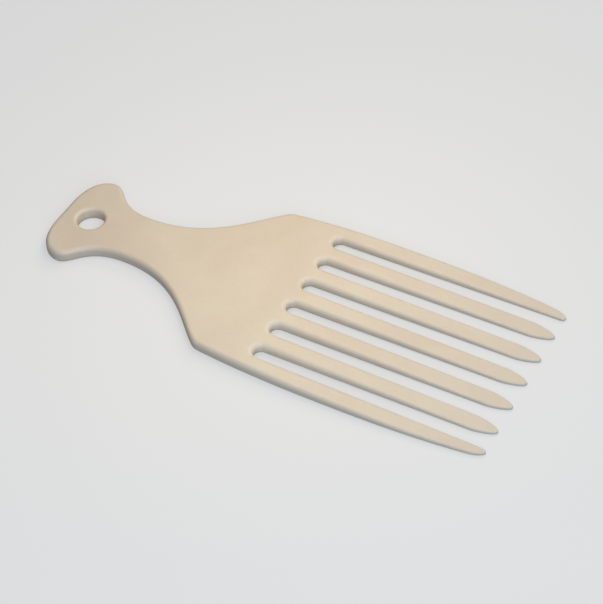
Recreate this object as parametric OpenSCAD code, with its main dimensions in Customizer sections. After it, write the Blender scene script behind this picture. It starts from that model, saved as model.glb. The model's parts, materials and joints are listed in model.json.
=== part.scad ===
// One-piece afro pick: a flared handle with a hanging hole, a shouldered plate and a row of long tapering teeth.
// It lies flat on z = 0 with the teeth towards +X, and the origin is under the middle of its length and width.
// All stations along the comb are measured from the end of the head.

/* [Handle] */
// Length from the end of the head to the roots of the teeth
handle_l = 88.2; // [80:0.1:110]
// Width of the head at its widest place
head_w = 36.8; // [30:0.1:44]
// Distance from the end of the head to its widest place
head_l = 8.4; // [6:0.1:12]
// Width of the straight edge across the end of the head
head_end_w = 9; // [4:0.1:14]
// Width of the waist at its narrowest place
waist_w = 18.9; // [15:0.1:24]
// Distance from the end of the head to the narrowest place
waist_l = 27.6; // [24:0.1:34]
// Diameter of the hanging hole
hole_d = 9; // [5:0.1:11]
// Distance from the end of the head to the middle of the hanging hole
hole_l = 10.3; // [9:0.1:13]
// Radius of the rounding at both rims of the hanging hole
hole_rim_r = 1.2; // [0.4:0.1:1.6]

/* [Shoulders] */
// Distance from the shoulder corners to the roots of the teeth
shoulder_l = 20.5; // [14:0.1:26]
// Angle of the shoulder edges to the length of the comb, where they meet the corners
shoulder_angle = 39.5; // [32:0.5:46]
// Length that the rounding takes off each side of a shoulder corner
shoulder_cut = 1.3; // [0.6:0.1:3]
// How far the side edges lie inside their widest place when they reach the shoulder corners
side_bow = 2.3; // [0.5:0.1:4]
// Distance from the roots of the teeth to the widest place of the comb
widest_l = 25.5; // [15:0.1:35]

/* [Teeth] */
// Number of teeth
tooth_count = 7; // [5:1:9]
// Distance from tooth to tooth
pitch = 10.5; // [9.5:0.1:12]
// Width of the slots at the roots of the teeth
slot_w = 4.6; // [4.2:0.1:5.4]
// Length of the teeth, from the middle of the round slot ends to the tips
tooth_l = 76.2; // [60:0.1:90]
// Width of an inner tooth where its point starts
tooth_end_w = 5.5; // [4.5:0.1:5.8]
// Length of the point of an inner tooth
point_l = 7.5; // [5:0.1:12]
// Length of the point of an outer tooth, along its outer edge
outer_point_l = 5; // [3:0.1:8]
// Length of the round nose of an outer tooth, along its inner edge
nose_l = 1.7; // [1.6:0.1:3]
// How far the tip of an outer tooth lies inside the line of that tooth
nose_shift = 1.7; // [1:0.1:1.9]

/* [Thickness] */
// Thickness at the end of the head
head_t = 4.75; // [4:0.05:6]
// Thickness at the roots of the teeth
root_t = 4.1; // [3.5:0.05:5]
// Thickness at the tips of the teeth
tip_t = 1.2; // [1.1:0.05:2]
// Radius of the rounded edges, up to the roots of the teeth
edge_r = 1.55; // [0.6:0.05:1.7]
// Radius of the rounded edges at the tips of the teeth
tip_edge_r = 0.45; // [0.2:0.05:0.5]

/* [Hidden] */

ivory = [0.90, 0.85, 0.75];

// Facets across each rounded edge, along the curves of the outline, and round the hanging hole
edge_steps = 4;
end_steps = 8;
flank_steps = 12;
shoulder_steps = 14;
corner_steps = 3;
side_steps = 3;
slot_steps = 8;
tooth_steps = 6;
point_steps = 7;
hole_facets = 96;

// Reach of each curve's handles, as shares of the stretch that the curve spans
head_end_share = 0.88;
head_crown_share = 0.23;
head_flank_share = 0.29;
waist_flank_share = 0.72;
waist_run_share = 0.556;
shoulder_run_share = 0.30;
corner_share = 0.55;

// Powers of the side edge's bow, of an inner tooth's point and of an outer tooth's nose
side_power_share = 2.46;
point_power_share = 1.25;
nose_power_share = 2;

// Steepest angle of the arc at the rims of the hanging hole, which then runs out straight
rim_turn = 75;
// Overrun of every cut
over = 1;

total_l = handle_l + tooth_l;
root_x = handle_l;
shoulder_x = root_x - shoulder_l;
widest_x = root_x + widest_l;
tooth_w = pitch - slot_w;
slot_r = slot_w / 2;
hole_r = hole_d / 2;
half_w = ((tooth_count - 1) * pitch + tooth_w) / 2;
// Station on the plate that stands clear of the slots' round ends and of their rounded edges
web_x = root_x - slot_w - 2 * edge_r;

// Thickness and edge radius at a station: both run evenly to the roots of the teeth, and evenly on to the tips
function along_tooth(x) = max(0, x - root_x) / tooth_l;
function along_handle(x) = min(x, root_x) / root_x;
function thick(x) = head_t + (root_t - head_t) * along_handle(x) + (tip_t - root_t) * along_tooth(x);
function edge(x) = edge_r + (tip_edge_r - edge_r) * along_tooth(x);

// Half width of the comb along its gently bowed sides
function side_y(x) = half_w - side_bow * pow(abs(x - widest_x) / (widest_x - shoulder_x), side_power_share);

function unit(v) = v / norm(v);
function left_of(v) = [-v[1], v[0]];
function flat(p) = [p[0], p[1]];

// A path holds [x, y, seat]: seat is 0, or the way along Y that a point on a joint plane faces
function free(points) = [for (p = points) [p[0], p[1], 0]];
function mirrored(path) = [for (i = [len(path) - 1:-1:0]) [path[i][0], -path[i][1], -path[i][2]]];

// Cubic curve from a to d with handles b and c, without its first point
function curve_at(a, b, c, d, t) =
    a * pow(1 - t, 3) + 3 * b * t * pow(1 - t, 2) + 3 * c * pow(t, 2) * (1 - t) + d * pow(t, 3);
function curve(a, b, c, d, steps) = [for (i = [1:steps]) curve_at(a, b, c, d, i / steps)];

// Far half of the handle's outline, from the end of the head to the waist
head_corner = [0, head_end_w / 2];
head_side = [head_l, head_w / 2];
waist_side = [waist_l, waist_w / 2];
handle_half = concat(
    free([head_corner]),
    free(curve(
        head_corner,
        head_corner + [0, head_end_share * (head_w - head_end_w) / 2],
        head_side - [head_crown_share * head_l, 0],
        head_side,
        end_steps)),
    free([for (i = [1:flank_steps - 1]) curve_at(
        head_side,
        head_side + [head_flank_share * (waist_l - head_l), 0],
        waist_side - [waist_flank_share * (waist_l - head_l), 0],
        waist_side,
        i / flank_steps)]),
    [[waist_side[0], waist_side[1], 1]]);
handle_path = concat(mirrored(handle_half), handle_half);

// Far edge of the plate, from the waist over the shoulder corner to the root of the outer tooth
slope = [cos(shoulder_angle), sin(shoulder_angle)];
shoulder_tip = [shoulder_x, side_y(shoulder_x)];
slope_end = shoulder_tip - shoulder_cut * slope;
side_start = [shoulder_x + shoulder_cut, side_y(shoulder_x + shoulder_cut)];
slope_run = slope_end[0] - waist_l;
plate_half = concat(
    [[waist_side[0], waist_side[1], 1]],
    free(curve(
        waist_side,
        waist_side + [waist_run_share * slope_run, 0],
        slope_end - shoulder_run_share * slope_run * slope,
        slope_end,
        shoulder_steps)),
    free(curve(
        slope_end,
        slope_end + corner_share * (shoulder_tip - slope_end),
        side_start + corner_share * (shoulder_tip - side_start),
        side_start,
        corner_steps)),
    free([for (i = [1:side_steps])
        let(x = side_start[0] + (web_x - side_start[0]) * i / side_steps)
        [x, side_y(x)]]),
    [[root_x, side_y(root_x), 1]]);

// Round end of one slot, from its far side to its near side
function slot_end(y) = [for (i = [0:slot_steps])
    let(a = 90 + 180 * i / slot_steps)
    [root_x + slot_r * cos(a), y + slot_r * sin(a), i == 0 ? -1 : i == slot_steps ? 1 : 0]];
slot_ends = [for (i = [1:tooth_count - 1], p = slot_end((tooth_count / 2 - i) * pitch)) p];
plate_path = concat(plate_half, slot_ends, mirrored(plate_half));

// Line of a tooth, and the half width of an inner tooth up to its point
function tooth_y(i) = ((tooth_count + 1) / 2 - i) * pitch;
function tooth_half_w(x) =
    tooth_w / 2 - (tooth_w - tooth_end_w) / 2 * pow((x - root_x) / (tooth_l - point_l), 2);

// One edge of tooth i, from its root to its tip: side is 1 for the far edge and -1 for the near one
function is_outer(i) = i == 1 || i == tooth_count;
function is_side_edge(i, side) = side == 1 ? i == 1 : i == tooth_count;
function tip_y(i) = tooth_y(i) - (is_outer(i) ? sign(tooth_y(i)) * nose_shift : 0);
function plain_y(i, side, x) = is_side_edge(i, side) ? side * side_y(x) : tooth_y(i) + side * tooth_half_w(x);
function point_length(i, side) = is_side_edge(i, side) ? outer_point_l : is_outer(i) ? nose_l : point_l;
function tooth_edge(i, side) =
    let(
        length = point_length(i, side),
        power = is_outer(i) ? nose_power_share : point_power_share,
        start_x = total_l - length)
    concat(
        [[root_x, plain_y(i, side, root_x), side]],
        free([for (k = [1:tooth_steps - 1])
            let(x = root_x + (start_x - root_x) * k / tooth_steps)
            [x, plain_y(i, side, x)]]),
        free([for (k = [0:point_steps])
            let(a = 90 * k / point_steps, x = start_x + length * pow(sin(a), 2 / power))
            [x, tip_y(i) + (plain_y(i, side, x) - tip_y(i)) * cos(a)]]));
function reversed(path) = [for (i = [len(path) - 2:-1:0]) path[i]];
function tooth_path(i) = concat(tooth_edge(i, 1), reversed(tooth_edge(i, -1)));

// Outward direction at a path's point
function outward(path, i) =
    let(
        n = len(path),
        here = flat(path[i]),
        before = flat(path[(i + n - 1) % n]),
        after = flat(path[(i + 1) % n]))
    path[i][2] != 0 ? [0, path[i][2]] : unit(left_of(unit(here - before) + unit(after - here)));

// Point i of a path, drawn in where the rounded edge has turned by the angle a towards the bottom or the top
function edge_point(path, i, a, top) =
    let(
        r = edge(path[i][0]),
        p = flat(path[i]) - outward(path, i) * r * (1 - cos(a)),
        drop = r * (1 - sin(a)))
    [p[0], p[1], top ? thick(p[0]) - drop : drop];

// Triangles that cover the inside of a path: between two runs of its points, or round one of them
function strip(near, far) =
    [for (i = [0:len(far) - 2]) each [[near[i], far[i], far[i + 1]], [near[i], far[i + 1], near[i + 1]]]];
function fan(hub, rim) = [for (i = [0:len(rim) - 2]) [hub, rim[i], rim[i + 1]]];
function steps(first, last) = first > last ? [for (i = [first:-1:last]) i] : [for (i = [first:last]) i];

handle_cap = strip(steps(len(handle_half) - 1, 0), steps(len(handle_half), len(handle_path) - 1));

// The plate is covered from the waist to its web station, then round each slot end and out into each tooth root
plate_far = len(plate_half) - 1;
plate_last = len(plate_path) - 1;
web_far = plate_far - 1;
web_near = plate_last - web_far;
slot_mid = slot_steps / 2;
slot_last = tooth_count - 1;
function slot_points(i, first, last) =
    [for (k = steps(first, last)) plate_far + 1 + (i - 1) * (slot_steps + 1) + k];
plate_cap = concat(
    strip(steps(plate_last, web_near), steps(0, web_far)),
    fan(web_far, concat([plate_far], slot_points(1, 0, slot_mid))),
    fan(web_far, concat([for (i = [1:slot_last]) slot_points(i, slot_mid, slot_mid)[0]], [web_near])),
    [for (i = [1:slot_last - 1])
        each strip(slot_points(i + 1, slot_mid, 0), slot_points(i, slot_mid, slot_steps))],
    fan(web_near, concat(slot_points(slot_last, slot_mid, slot_steps), [plate_last - plate_far])));

function tooth_cap(path) =
    let(last = len(path) - 1, tip = last / 2)
    concat(strip(steps(last, tip + 1), steps(0, tip - 1)), [[tip + 1, tip - 1, tip]]);

// Closed plate over a path that runs clockwise, with a flat underside, a sloping top and rounded edges
module slab(path, cap) {
    n = len(path);
    turns = [for (k = [0:edge_steps]) 90 * k / edge_steps];
    bottom = [for (k = [edge_steps:-1:0], i = [0:n - 1]) edge_point(path, i, turns[k], false)];
    top = [for (k = [0:edge_steps], i = [0:n - 1]) edge_point(path, i, turns[k], true)];
    rings = 2 * (edge_steps + 1);
    walls = [for (k = [0:rings - 2], i = [0:n - 1])
        let(a = k * n + i, b = k * n + (i + 1) % n)
        each [[a, b, b + n], [a, b + n, a + n]]];
    polyhedron(
        points = concat(bottom, top),
        faces = concat(
            [for (f = cap) [f[2], f[1], f[0]]],
            [for (f = cap) [for (i = f) (rings - 1) * n + i]],
            walls));
}

// Half of the tool that cuts the hanging hole's rim: an arc from the bore, then a straight run out past the face
module rim_cut() {
    turns = [for (k = [0:edge_steps]) rim_turn * k / edge_steps];
    arc = [for (a = turns) [hole_r + hole_rim_r * (1 - cos(a)), hole_rim_r * (1 - sin(a))]];
    last = arc[edge_steps];
    run = (over + last[1]) / cos(rim_turn);
    rotate_extrude($fn = hole_facets)
        polygon(concat(
            [[0, hole_rim_r]],
            arc,
            [last + run * [sin(rim_turn), -cos(rim_turn)]],
            [[0, -over]]));
}

module hanging_hole() {
    translate([hole_l, 0, 0]) {
        translate([0, 0, -over])
            cylinder(r = hole_r, h = head_t + 2 * over, $fn = hole_facets);
        rim_cut();
        translate([0, 0, thick(hole_l)])
            mirror([0, 0, 1])
                rim_cut();
    }
}

// Moves the comb's stations so that the origin is under the middle of its length
module centred() {
    translate([-total_l / 2, 0, 0])
        children();
}

module handle() {
    color(ivory)
        centred()
            difference() {
                slab(handle_path, handle_cap);
                hanging_hole();
            }
}

module shoulder_plate() {
    color(ivory)
        centred()
            slab(plate_path, plate_cap);
}

module tooth(i) {
    color(ivory)
        centred()
            slab(tooth_path(i), tooth_cap(tooth_path(i)));
}

handle();
shoulder_plate();
for (i = [1:tooth_count]) tooth(i);
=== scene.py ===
import json
import math

import bmesh
import bpy
from mathutils import Matrix, Vector


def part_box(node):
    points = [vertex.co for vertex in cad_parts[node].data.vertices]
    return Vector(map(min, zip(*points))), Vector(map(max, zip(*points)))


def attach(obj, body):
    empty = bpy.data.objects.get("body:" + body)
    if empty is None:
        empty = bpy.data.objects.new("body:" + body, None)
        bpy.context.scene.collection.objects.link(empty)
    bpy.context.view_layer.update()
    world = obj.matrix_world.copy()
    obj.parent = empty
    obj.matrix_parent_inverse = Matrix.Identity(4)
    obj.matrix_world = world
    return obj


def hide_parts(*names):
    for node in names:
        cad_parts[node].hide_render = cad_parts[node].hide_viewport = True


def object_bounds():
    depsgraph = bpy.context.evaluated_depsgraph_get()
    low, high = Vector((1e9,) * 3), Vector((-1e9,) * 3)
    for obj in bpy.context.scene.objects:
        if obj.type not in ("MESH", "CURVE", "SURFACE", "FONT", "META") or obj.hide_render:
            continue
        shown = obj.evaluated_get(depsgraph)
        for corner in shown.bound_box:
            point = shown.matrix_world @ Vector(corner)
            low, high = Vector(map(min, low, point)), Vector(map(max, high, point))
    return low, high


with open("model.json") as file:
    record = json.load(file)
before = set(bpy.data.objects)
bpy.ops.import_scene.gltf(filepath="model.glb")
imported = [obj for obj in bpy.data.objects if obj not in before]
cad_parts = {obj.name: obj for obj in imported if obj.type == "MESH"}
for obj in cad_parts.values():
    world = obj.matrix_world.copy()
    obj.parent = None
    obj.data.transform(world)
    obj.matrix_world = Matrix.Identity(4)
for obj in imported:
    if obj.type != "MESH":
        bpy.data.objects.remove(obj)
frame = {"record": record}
cad_box = [list(corner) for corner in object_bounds()]

# The handle
# A flared head with a straight end and a hanging hole, and a narrow waist. The comb is one moulding in
# ivory plastic, so one taper and one rounded edge run from the handle through the plate and the teeth. A
# pin in the mould forms the hole, and both its rims are rounded.
MM = 0.001

head_x = cad_box[0][0]
tip_x = cad_box[1][0]
waist_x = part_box("shoulder_plate")[0].x
root_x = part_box("tooth_4")[0].x
tooth_l = tip_x - root_x

head_half_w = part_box("handle")[1].y
head_end_half_w = 4.5 * MM
head_wide_x = head_x + 8.4 * MM
waist_half_w = 9.45 * MM
head_end_pull = 0.88
head_corner_pull = 0.23
head_flank_pull = 0.29
waist_flank_pull = 0.72
head_steps = 32
flank_steps = 48

head_t = 4.75 * MM
root_t = 4.1 * MM
tip_t = 1.2 * MM
handle_fall = (root_t - head_t) / (root_x - head_x)
tooth_fall = (tip_t - root_t) / tooth_l
root_ease = 5 * MM
ease_cuts = [root_x + share * root_ease for share in (-1, -0.5, 0.5, 1)]

edge_r = 1.55 * MM
tip_edge_r = 0.45 * MM
edge_steps = 8
flat_band = 0.15
crease_angle = math.radians(40)
level_lean = 0.999
merge_distance = 0.001 * MM

hole = next(mount for mount in frame["record"]["mounts"] if mount["name"] == "hanging_hole")
hole_x = hole["pos_m"][0]
hole_r = hole["dims"]["r_mm"] * MM
hole_rim_r = 1.2 * MM
hole_points = 96

# The wall in levels, from the underside round to the top: how far in from the outline and how far from
# the face each level lies, as shares of the edge's radius, and whether it belongs to the top. The first
# and last are narrow flat bands beside the roundings.
edge_turns = [math.radians(90 * step / edge_steps) for step in range(edge_steps + 1)]
rounding = [(1 - math.cos(turn), 1 - math.sin(turn)) for turn in edge_turns]
wall_levels = [
    (1 + flat_band, 0, False),
    *((inset, drop, False) for inset, drop in reversed(rounding)),
    *((inset, drop, True) for inset, drop in rounding),
    (1 + flat_band, 0, True),
]


def past_root(x):
    """Distance past the tooth roots, eased so that the top bends over smoothly there."""
    reach = x - root_x
    if abs(reach) < root_ease:
        return (reach + root_ease) ** 2 / (4 * root_ease)
    return max(0, reach)


def thickness(x):
    return head_t + handle_fall * (x - head_x) + (tooth_fall - handle_fall) * past_root(x)


def edge_radius(x):
    return edge_r + (tip_edge_r - edge_r) * max(0, x - root_x) / tooth_l


def curve(start, start_handle, end_handle, end, steps):
    """Points of a curve drawn with two handles, without its first."""
    shares = [step / steps for step in range(1, steps + 1)]
    return [
        start * (1 - s) ** 3
        + 3 * start_handle * s * (1 - s) ** 2
        + 3 * end_handle * s**2 * (1 - s)
        + end * s**3
        for s in shares
    ]


def mirrored(outline):
    """The other half of an outline, whose points are (x, y, facing): facing is 1 or -1 on a joining face."""
    return [(x, -y, -facing) for x, y, facing in reversed(outline)]


def outward(outline, index):
    """Way out of an outline at one point. A point on a face that meets the next region faces along Y."""
    before, here, after = (Vector(outline[k % len(outline)][:2]) for k in (index - 1, index, index + 1))
    if outline[index][2]:
        return Vector((0, outline[index][2]))
    along = (here - before).normalized() + (after - here).normalized()
    return Vector((-along.y, along.x)).normalized()


def edge_rings(outline):
    """Places of an outline's points at every level of the wall, with no flat band on a joining face."""
    outs = [outward(outline, index) for index in range(len(outline))]
    rings = []
    for inset, drop, on_top in wall_levels:
        ring = []
        for (x, y, facing), out in zip(outline, outs):
            radius = edge_radius(x)
            place = Vector((x, y)) - out * radius * (min(1, inset) if facing else inset)
            height = thickness(place.x) - radius * drop if on_top else radius * drop
            ring.append(Vector((place.x, place.y, height)))
        rings.append(ring)
    return rings


def draw_wall(mesh, rings):
    """Adds a circle of points, lays it out as the first ring and extrudes it through all the others."""
    bpy.ops.mesh.select_all(action="DESELECT")
    bpy.ops.mesh.primitive_circle_add(vertices=len(rings[0]), radius=edge_r, fill_type="NOTHING")
    edit = bmesh.from_edit_mesh(mesh)
    number = edit.verts.layers.int.get("number") or edit.verts.layers.int.new("number")
    for index, vert in enumerate(v for v in edit.verts if v.select):
        vert[number] = index
    for level, ring in enumerate(rings):
        if level:
            bpy.ops.mesh.extrude_edges_move()
        edit = bmesh.from_edit_mesh(mesh)
        number = edit.verts.layers.int["number"]
        for vert in edit.verts:
            if vert.select:
                vert.co = ring[vert[number]]
    bmesh.update_edit_mesh(mesh)


def cover(mesh, on_top):
    """Fills the top or the underside between the open rings."""
    bpy.ops.mesh.select_all(action="DESELECT")
    for edge in bmesh.from_edit_mesh(mesh).edges:
        if edge.is_boundary and all((v.co.z > thickness(v.co.x) / 2) == on_top for v in edge.verts):
            edge.select_set(True)
    bpy.ops.mesh.fill(use_beauty=True)


def mould(name, walls):
    """One closed region of the comb, from the rings of its walls.

    The top is cut across where it bends over, and the new points are lifted to its thickness.
    """
    bpy.ops.object.select_all(action="DESELECT")
    mesh = bpy.data.meshes.new(name)
    piece = bpy.data.objects.new(name, mesh)
    bpy.context.scene.collection.objects.link(piece)
    bpy.context.view_layer.objects.active = piece
    piece.select_set(True)
    bpy.ops.object.mode_set(mode="EDIT")
    bpy.ops.mesh.select_mode(type="EDGE")
    for rings in walls:
        draw_wall(mesh, rings)
    cover(mesh, False)
    cover(mesh, True)
    bpy.ops.mesh.select_all(action="SELECT")
    bpy.ops.mesh.remove_doubles(threshold=merge_distance)
    for cut_x in ease_cuts:
        bpy.ops.mesh.select_all(action="SELECT")
        bpy.ops.mesh.bisect(plane_co=(cut_x, 0, 0), plane_no=(1, 0, 0))
    edit = bmesh.from_edit_mesh(mesh)
    edit.normal_update()
    for vert in edit.verts:
        level = any(face.normal.z > level_lean for face in vert.link_faces)
        if level and vert.co.z > thickness(vert.co.x) / 2:
            vert.co.z = thickness(vert.co.x)
    bmesh.update_edit_mesh(mesh)
    bpy.ops.mesh.select_all(action="SELECT")
    bpy.ops.mesh.normals_make_consistent(inside=False)
    bpy.ops.object.mode_set(mode="OBJECT")
    mesh.attributes.remove(mesh.attributes["number"])
    bpy.ops.object.shade_smooth_by_angle(angle=crease_angle)
    return piece


head_corner = Vector((head_x, head_end_half_w))
head_side = Vector((head_wide_x, head_half_w))
waist_side = Vector((waist_x, waist_half_w))
flank_l = waist_x - head_wide_x
head_curve = curve(
    head_corner,
    head_corner + Vector((0, head_end_pull * (head_half_w - head_end_half_w))),
    head_side - Vector((head_corner_pull * (head_wide_x - head_x), 0)),
    head_side,
    head_steps,
)
flank_curve = curve(
    head_side,
    head_side + Vector((head_flank_pull * flank_l, 0)),
    waist_side - Vector((waist_flank_pull * flank_l, 0)),
    waist_side,
    flank_steps,
)
handle_half = [
    *((place.x, place.y, 0) for place in (head_corner, *head_curve, *flank_curve[:-1])),
    (waist_x, waist_half_w, 1),
]

hole_turns = [math.tau * index / hole_points for index in range(hole_points)]
hole_rings = []
for inset, drop, on_top in wall_levels:
    reach = hole_r + hole_rim_r * inset
    drop *= hole_rim_r
    ring = [Vector((hole_x + reach * math.cos(t), reach * math.sin(t), drop)) for t in hole_turns]
    if on_top:
        for place in ring:
            place.z = thickness(place.x) - drop
    hole_rings.append(ring)

handle = mould("pick_handle", [edge_rings(mirrored(handle_half) + handle_half), hole_rings])
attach(handle, "root")
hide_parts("handle")

# The shoulder plate
# The middle of the moulding. From the waist its outline sweeps out to two blunt shoulders, and its sides
# bow gently on to the outer teeth. Ribs in the mould leave six slots, whose round ends reach into it.
tooth_boxes = [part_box(f"tooth_{number}") for number in range(1, 8)]
tooth_lines = [(low.y + high.y) / 2 for low, high in tooth_boxes]
pitch = tooth_lines[2] - tooth_lines[3]
tooth_half_w = (tooth_boxes[3][1].y - tooth_boxes[3][0].y) / 2
slot_r = pitch / 2 - tooth_half_w
slot_steps = 28

half_w = cad_box[1][1]
widest_x = root_x + 25.5 * MM
side_bow = 2.3 * MM
side_bow_power = 2.46
side_steps = 12

shoulder_x = root_x - 20.5 * MM
shoulder_angle = math.radians(39.5)
shoulder_cut = 1.3 * MM
waist_sweep_pull = 0.556
shoulder_sweep_pull = 0.30
shoulder_pull = 0.55
sweep_steps = 56
shoulder_steps = 10


def side_y(x):
    """Half width of the comb along its gently bowed sides."""
    return half_w - side_bow * (abs(x - widest_x) / (widest_x - shoulder_x)) ** side_bow_power


shoulder_way = Vector((math.cos(shoulder_angle), math.sin(shoulder_angle)))
shoulder_tip = Vector((shoulder_x, side_y(shoulder_x)))
sweep_end = shoulder_tip - shoulder_cut * shoulder_way
side_start = Vector((shoulder_x + shoulder_cut, side_y(shoulder_x + shoulder_cut)))
sweep_l = sweep_end.x - waist_x
sweep_curve = curve(
    waist_side,
    waist_side + Vector((waist_sweep_pull * sweep_l, 0)),
    sweep_end - shoulder_sweep_pull * sweep_l * shoulder_way,
    sweep_end,
    sweep_steps,
)
shoulder_curve = curve(
    sweep_end,
    sweep_end + shoulder_pull * (shoulder_tip - sweep_end),
    side_start + shoulder_pull * (shoulder_tip - side_start),
    side_start,
    shoulder_steps,
)
side_stations = [side_start.x + (root_x - side_start.x) * step / side_steps for step in range(1, side_steps)]
plate_half = [
    (waist_x, waist_half_w, 1),
    *((place.x, place.y, 0) for place in (*sweep_curve, *shoulder_curve)),
    *((x, side_y(x), 0) for x in side_stations),
    (root_x, side_y(root_x), 1),
]
slot_ends = []
for far_line, near_line in zip(tooth_lines, tooth_lines[1:]):
    slot_y = (far_line + near_line) / 2
    for step in range(slot_steps + 1):
        turn = math.pi / 2 + math.pi * step / slot_steps
        facing = {0: -1, slot_steps: 1}.get(step, 0)
        slot_ends.append((root_x + slot_r * math.cos(turn), slot_y + slot_r * math.sin(turn), facing))

plate = mould("pick_shoulder_plate", [edge_rings(plate_half + slot_ends + mirrored(plate_half))])
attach(plate, "root")
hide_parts("shoulder_plate")

# The teeth
# Seven long teeth of the same moulding, which thin from the roots to the tips. The inner five are alike and
# end in slim points. The outer two mirror each other and end in round noses that are set a little inwards.
tooth_end_half_w = 2.75 * MM
point_l = 7.5 * MM
point_power = 1.6
outer_point_l = 5 * MM
nose_l = 1.7 * MM
nose_power = 1
nose_shift = 1.7 * MM
tooth_steps = 28
point_steps = 28


def inner_edge(line, side, x):
    """Edge of a tooth that faces a slot: it narrows slowly at first, and faster towards the point."""
    share = (x - root_x) / (tooth_l - point_l)
    return line + side * (tooth_half_w - (tooth_half_w - tooth_end_half_w) * share**2)


def tooth_edge(line, side):
    """One edge of a tooth from its root to its tip: side is 1 for the far one and -1 for the near one."""
    outer_tooth = line == tooth_lines[0]
    outer_edge = outer_tooth and side == 1
    length = outer_point_l if outer_edge else nose_l if outer_tooth else point_l
    power = nose_power if outer_tooth else point_power
    tip_y = line - nose_shift if outer_tooth else line

    def plain_y(x):
        return side_y(x) if outer_edge else inner_edge(line, side, x)

    point_x = tip_x - length
    edge = [(root_x, plain_y(root_x), side)]
    for step in range(1, tooth_steps):
        x = root_x + (point_x - root_x) * step / tooth_steps
        edge.append((x, plain_y(x), 0))
    for step in range(point_steps + 1):
        turn = math.pi / 2 * step / point_steps
        x = point_x + length * math.sin(turn) ** power
        edge.append((x, tip_y + (plain_y(x) - tip_y) * math.cos(turn), 0))
    return edge


def mould_tooth(number):
    """One tooth, from the edge of its root round its tip and back."""
    line = tooth_lines[number - 1]
    near_edge = list(reversed(tooth_edge(line, -1)))[1:]
    return mould(f"pick_tooth_{number}", [edge_rings(tooth_edge(line, 1) + near_edge)])


def copy_tooth(tooth, number, shift=0, mirror=False):
    """A copy of a tooth with its own mesh, mirrored to the near side or moved across the comb."""
    bpy.ops.object.select_all(action="DESELECT")
    tooth.select_set(True)
    bpy.context.view_layer.objects.active = tooth
    bpy.ops.object.duplicate()
    copy = bpy.context.object
    copy.name = copy.data.name = f"pick_tooth_{number}"
    bpy.ops.object.mode_set(mode="EDIT")
    bpy.ops.mesh.select_all(action="SELECT")
    if mirror:
        bpy.ops.transform.resize(value=(1, -1, 1), center_override=(0, 0, 0))
        bpy.ops.mesh.normals_make_consistent(inside=False)
    bpy.ops.transform.translate(value=(0, shift, 0))
    bpy.ops.object.mode_set(mode="OBJECT")
    return copy


far_tooth = mould_tooth(1)
inner_tooth = mould_tooth(2)
teeth = [far_tooth, inner_tooth]
for number in range(3, 7):
    teeth.append(copy_tooth(inner_tooth, number, shift=tooth_lines[number - 1] - tooth_lines[1]))
teeth.append(copy_tooth(far_tooth, 7, mirror=True))
for number, tooth in enumerate(teeth, start=1):
    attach(tooth, "root")
    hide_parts(f"tooth_{number}")

# The plastic
# Ivory polystyrene, injection moulded in a satin-polished tool. It is opaque and warm, with faint clouding
# from the melt, a slight waviness where it shrank, and hairlines along the comb from use. The hairlines and
# the fine grain of the tool are drawn coarser and deeper than real ones, so that they show.
ivory = "E2CEB4"
pale_ivory = "E9D9BE"
plastic_ior = 1.55
cloud_size = 24 * MM
cloud_pattern = 92.1
fleck_size = 1.8 * MM
fleck_share = 0.25
wave_size = 9 * MM
wave_height = 0.02 * MM
grain_size = 0.5 * MM
grain_height = 0.008 * MM
hairline_length = 26 * MM
hairline_gap = 0.45 * MM
hairline_depth = 0.02 * MM
hairline_lean = math.radians(4)
hairline_roughness = 0.10
satin_roughness = 0.46
dull_roughness = 0.54


def linear(hex_colour, alpha=1):
    """A colour written as sRGB hex, in the linear values that the shader wants."""
    parts = [int(hex_colour[k : k + 2], 16) / 255 for k in (0, 2, 4)]
    return (*((p / 12.92 if p <= 0.04045 else ((p + 0.055) / 1.055) ** 2.4) for p in parts), alpha)


def add_node(tree, kind, settings, sockets):
    """Adds a node with its settings, and sets or links its sockets by name or number."""
    node = tree.nodes.new(kind)
    for name, value in settings.items():
        setattr(node, name, value)
    for name, value in sockets.items():
        if isinstance(value, bpy.types.NodeSocket):
            tree.links.new(value, node.inputs[name])
        else:
            node.inputs[name].default_value = value
    return node


plastic = bpy.data.materials.new("moulded_ivory_polystyrene_satin")
plastic.use_nodes = True
tree = plastic.node_tree
shader = tree.nodes["Principled BSDF"]
shader.inputs["IOR"].default_value = plastic_ior

comb_place = add_node(tree, "ShaderNodeTexCoord", {}, {}).outputs["Object"]
cloud = add_node(
    tree,
    "ShaderNodeTexNoise",
    {"noise_dimensions": "4D"},
    {
        "Vector": comb_place,
        "W": cloud_pattern,
        "Scale": 1 / cloud_size,
        "Detail": 3.0,
        "Roughness": 0.5,
        "Distortion": 0.6,
    },
)
fleck = add_node(
    tree,
    "ShaderNodeTexNoise",
    {},
    {"Vector": comb_place, "Scale": 1 / fleck_size, "Detail": 2.0, "Roughness": 0.6},
)
tint = add_node(
    tree,
    "ShaderNodeMath",
    {"operation": "MULTIPLY_ADD"},
    {0: fleck.outputs["Fac"], 1: fleck_share, 2: cloud.outputs["Fac"]},
)
paleness = add_node(
    tree,
    "ShaderNodeMapRange",
    {},
    {"Value": tint.outputs["Value"], "From Min": 0.4, "From Max": 0.85},
)
colour = add_node(
    tree,
    "ShaderNodeMix",
    {"data_type": "RGBA"},
    {"Factor": paleness.outputs["Result"], "A": linear(ivory), "B": linear(pale_ivory)},
)
tree.links.new(colour.outputs["Result"], shader.inputs["Base Color"])

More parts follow.
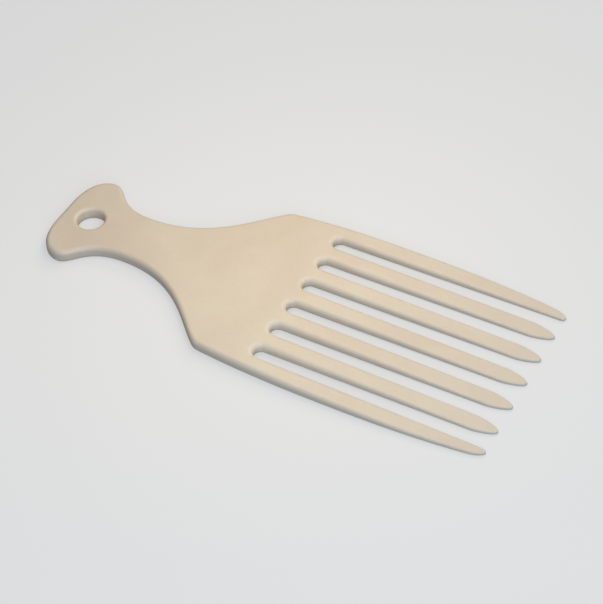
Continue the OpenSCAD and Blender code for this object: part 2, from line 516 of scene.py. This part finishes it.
long_way = add_node(
    tree,
    "ShaderNodeMapping",
    {},
    {
        "Vector": comb_place,
        "Rotation": (0, 0, hairline_lean),
        "Scale": (hairline_gap / hairline_length, 1, 1),
    },
)
hairline = add_node(
    tree,
    "ShaderNodeTexNoise",
    {},
    {"Vector": long_way.outputs["Vector"], "Scale": 1 / hairline_gap, "Detail": 2.0, "Roughness": 0.7},
)
hairline_cut = add_node(
    tree,
    "ShaderNodeMapRange",
    {},
    {"Value": hairline.outputs["Fac"], "From Min": 0.62, "From Max": 0.72},
)
wave = add_node(
    tree,
    "ShaderNodeTexNoise",
    {},
    {"Vector": comb_place, "Scale": 1 / wave_size, "Detail": 1.0},
)
grain = add_node(
    tree,
    "ShaderNodeTexNoise",
    {},
    {"Vector": comb_place, "Scale": 1 / grain_size, "Detail": 2.0},
)
wavy = add_node(
    tree,
    "ShaderNodeBump",
    {},
    {"Height": wave.outputs["Fac"], "Distance": wave_height, "Strength": 1.0},
)
grainy = add_node(
    tree,
    "ShaderNodeBump",
    {},
    {"Height": grain.outputs["Fac"], "Distance": grain_height, "Normal": wavy.outputs["Normal"]},
)
scratched = add_node(
    tree,
    "ShaderNodeBump",
    {"invert": True},
    {
        "Height": hairline_cut.outputs["Result"],
        "Distance": hairline_depth,
        "Normal": grainy.outputs["Normal"],
    },
)
tree.links.new(scratched.outputs["Normal"], shader.inputs["Normal"])
polish = add_node(
    tree,
    "ShaderNodeMapRange",
    {},
    {
        "Value": cloud.outputs["Fac"],
        "From Min": 0.3,
        "From Max": 0.7,
        "To Min": satin_roughness,
        "To Max": dull_roughness,
    },
)
worn_polish = add_node(
    tree,
    "ShaderNodeMath",
    {"operation": "MULTIPLY_ADD"},
    {0: hairline_cut.outputs["Result"], 1: hairline_roughness, 2: polish.outputs["Result"]},
)
tree.links.new(worn_polish.outputs["Value"], shader.inputs["Roughness"])

for piece in (handle, plate, *teeth):
    piece.data.materials.append(plastic)

# The floor
# A plain pale sheet of painted board that the comb lies on. The camera and mirror rays see a part of its
# paleness as its own, which keeps it even, and it throws little light up under the comb.
floor_size = 6
floor_drop = 0.03 * MM
floor_own = 0.52
floor_lit = "94928D"
floor_bounce = "484A4E"
board_roughness = 0.9
board_gloss = 0.1

bpy.ops.object.select_all(action="DESELECT")
bpy.ops.mesh.primitive_plane_add(size=floor_size, location=(0, 0, -floor_drop))
floor = bpy.context.object
floor.name = "floor"
board = bpy.data.materials.new("matt_white_board")
board.use_nodes = True
tree = board.node_tree
shader = tree.nodes["Principled BSDF"]
shader.inputs["Roughness"].default_value = board_roughness
shader.inputs["Specular IOR Level"].default_value = board_gloss
shader.inputs["Emission Color"].default_value = linear("FFFFFF")
rays = add_node(tree, "ShaderNodeLightPath", {}, {})
seen_or_mirrored = add_node(
    tree,
    "ShaderNodeMath",
    {"operation": "MAXIMUM"},
    {0: rays.outputs["Is Camera Ray"], 1: rays.outputs["Is Glossy Ray"]},
)
seen = add_node(
    tree,
    "ShaderNodeMath",
    {"operation": "MAXIMUM"},
    {0: seen_or_mirrored.outputs["Value"], 1: rays.outputs["Is Transmission Ray"]},
)
colour = add_node(
    tree,
    "ShaderNodeMix",
    {"data_type": "RGBA"},
    {"Factor": seen.outputs["Value"], "A": linear(floor_bounce), "B": linear(floor_lit)},
)
own = add_node(
    tree,
    "ShaderNodeMath",
    {"operation": "MULTIPLY"},
    {0: seen.outputs["Value"], 1: floor_own},
)
tree.links.new(colour.outputs["Result"], shader.inputs["Base Color"])
tree.links.new(own.outputs["Value"], shader.inputs["Emission Strength"])
floor.data.materials.append(board)

# The light
# A small warm soft box hangs close over the plate. A cool one stands to the right of the camera and a
# nearly white one behind the comb, both farther off, and the room adds a little.
room_colour = "FBF9FF"
room_strength = 0.18
soft_boxes = (
    ("plate_light", (0, 0.015, 0.14), (0, 0, 0), 0.08, 0.081, "FFEED1"),
    ("side_light", (0.42, -0.48, 0.42), (0, 0, 0), 0.5, 4.2, "C7DFFF"),
    ("back_light", (0.10, 0.80, 0.68), (0.02, 0, 0), 0.5, 3.1, "FFFDF3"),
)

world = bpy.data.worlds.new("studio")
world.use_nodes = True
background = world.node_tree.nodes["Background"]
background.inputs["Color"].default_value = linear(room_colour)
background.inputs["Strength"].default_value = room_strength
bpy.context.scene.world = world

for name, stand, target, size, power, tone in soft_boxes:
    bpy.ops.object.light_add(type="AREA", location=stand)
    lamp = bpy.context.object
    lamp.name = name
    lamp.data.shape = "SQUARE"
    lamp.data.size = size
    lamp.data.energy = power
    lamp.data.color = linear(tone)[:3]
    lamp.visible_camera = False
    lamp.rotation_euler = (Vector(target) - Vector(stand)).to_track_quat("-Z", "Y").to_euler()

# The camera
# It looks down on the comb from the near side, beyond the teeth, from a little over half a metre. Its place,
# turn and lens come from the comb's outline in the photograph.
aim = Vector((0.005414, 0.000861, 0))
distance = 0.58113
azimuth = math.radians(30.372)
elevation = math.radians(45.566)
roll = math.radians(-2.909)
lens = 110.76
sensor_w = 36

away = Vector(
    (math.sin(azimuth) * math.cos(elevation), -math.cos(azimuth) * math.cos(elevation), math.sin(elevation))
)
level_view = (-away).to_track_quat("-Z", "Y")
bpy.ops.object.camera_add(location=aim + away * distance)
camera = bpy.context.object
camera.rotation_mode = "QUATERNION"
camera.rotation_quaternion = level_view @ Matrix.Rotation(roll, 3, "Z").to_quaternion()
camera.data.lens = lens
camera.data.sensor_width = sensor_w
bpy.context.scene.camera = camera
bpy.context.scene.view_settings.view_transform = "Standard"
